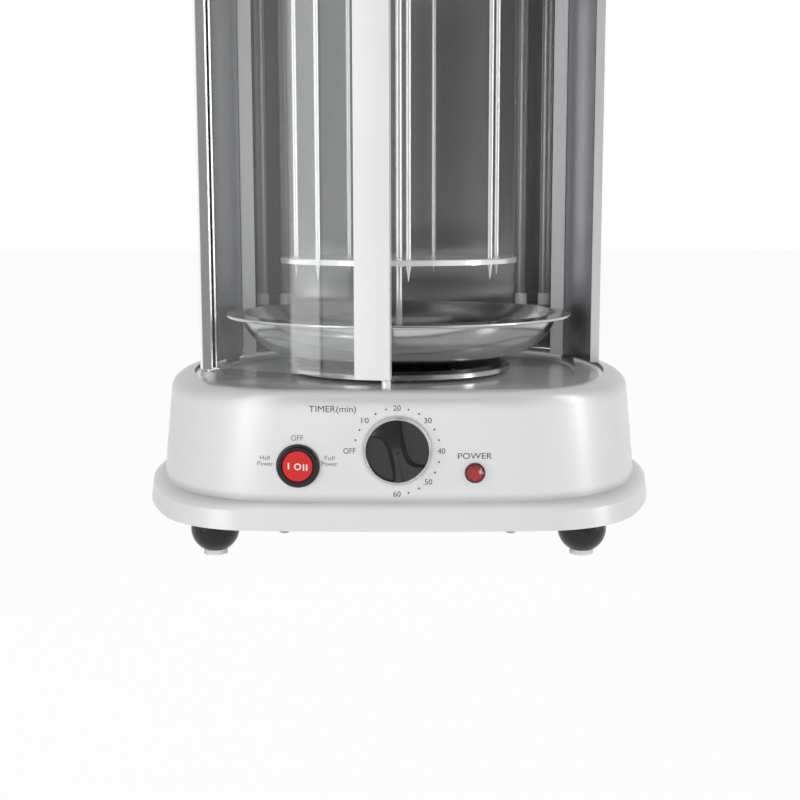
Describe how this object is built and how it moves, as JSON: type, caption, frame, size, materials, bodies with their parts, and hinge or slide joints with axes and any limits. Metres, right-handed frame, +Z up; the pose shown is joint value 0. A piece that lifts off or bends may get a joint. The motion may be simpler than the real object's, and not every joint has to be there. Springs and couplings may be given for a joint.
{
  "type": "doner kebab grill",
  "caption": "Countertop vertical kebab grill: curved base with timer and switch, steel heater housing, curved glass door, turning pan and skewer carousel.",
  "frame": {"origin": "on the table under the middle of the whole part", "axes": "+Z up along the spindle, +X to the right for someone facing the controls, the front faces -Y"},
  "size_m": [0.292, 0.2583, 0.4392],
  "materials": {
    "silver_paint": "smooth silver-grey paint, satin gloss",
    "zinc_steel": "zinc-plated steel, dull",
    "bright_screws": "bright nickel plate",
    "black_plastic": "black moulded plastic",
    "black_gloss": "glossy black plastic",
    "white_felt": "white felt",
    "stainless_sheet": "brushed stainless sheet",
    "turned_steel": "stainless, spun and polished in rings",
    "rod_steel": "bright drawn stainless rod",
    "bright_strip": "bright anodised",
    "silver_plate": "satin silver plate",
    "heater_sheath": "dark heat-tinted steel sheath",
    "ceramic": "white glazed ceramic",
    "bronze": "sintered bronze",
    "hinge_bushes": "grey heat-proof plastic",
    "clear_glass": "clear toughened glass",
    "red_rocker": "glossy red plastic",
    "red_lens": "red cut lens"
  },
  "bodies": {
    "grill_housing": {"base_housing": "silver_paint", "bottom_plate": "zinc_steel", "base_screws": "bright_screws", "foot_pads": "white_felt", "foot_screws": "bright_screws", "front_left_foot": "black_plastic", "front_right_foot": "black_plastic", "rear_left_foot": "black_plastic", "rear_right_foot": "black_plastic", "tray_plate": "stainless_sheet", "turntable_bush": "bronze", "motor_bracket": "zinc_steel", "gear_motor": "zinc_steel", "timer_unit": "zinc_steel", "switch_body": "black_gloss", "lamp_lens": "red_lens", "lamp_body": "black_plastic", "terminal_block": "black_plastic", "cable_gland": "black_plastic", "outer_shell": "stainless_sheet", "left_liner": "stainless_sheet", "right_liner": "stainless_sheet", "heat_reflector": "stainless_sheet", "element_shelves": "stainless_sheet", "element_bushes": "ceramic", "left_heating_element": "heater_sheath", "right_heating_element": "heater_sheath", "element_clips": "stainless_sheet", "top_plate": "stainless_sheet", "top_cover": "silver_paint", "top_cover_screws": "bright_screws", "top_spindle_bush": "bronze", "lower_hinge_bush": "hinge_bushes", "upper_hinge_bush": "hinge_bushes", "door_stop": "rod_steel"},
    "carousel": {"drive_shaft": "zinc_steel", "turntable": "turned_steel", "drive_hub": "black_plastic", "drive_hub_screws": "bright_screws", "drip_pan": "turned_steel", "spindle": "rod_steel", "lower_skewer_disc": "turned_steel", "upper_skewer_disc": "turned_steel", "disc_collars": "rod_steel", "skewer_1": "rod_steel", "skewer_2": "rod_steel", "skewer_3": "rod_steel", "skewer_4": "rod_steel", "skewer_5": "rod_steel", "skewer_6": "rod_steel", "skewer_7": "rod_steel"},
    "door": {"door_glass": "clear_glass", "door_handle_strip": "bright_strip", "door_hinge_profile": "bright_strip", "door_hinge_pins": "rod_steel"},
    "timer_dial": {"timer_knob": "black_gloss", "knob_ring": "silver_plate", "timer_shaft": "zinc_steel"},
    "power_rocker": {"switch_rocker": "red_rocker"}
  },
  "joints": [
    {"name": "carousel_spin", "type": "hinge", "parent": "grill_housing", "child": "carousel", "pos_m": [0, -0.00883, 0.1], "axis": [0, 0, 1], "continuous": true},
    {"name": "door_swing", "type": "hinge", "parent": "grill_housing", "child": "door", "pos_m": [-0.1033, -0.06453, 0.1], "axis": [0, 0, -1], "range_deg": [0, 105]},
    {"name": "timer_turn", "type": "hinge", "parent": "grill_housing", "child": "timer_dial", "pos_m": [0, -0.12077, 0.0652], "axis": [0, 0.9998, -0.0209], "range_deg": [-258.5, 11.5]},
    {"name": "power_tilt", "type": "hinge", "parent": "grill_housing", "child": "power_rocker", "pos_m": [-0.05074, -0.12035, 0.05702], "axis": [0.0011, 0.0209, 0.9998], "range_deg": [-10, 10]}
  ]
}
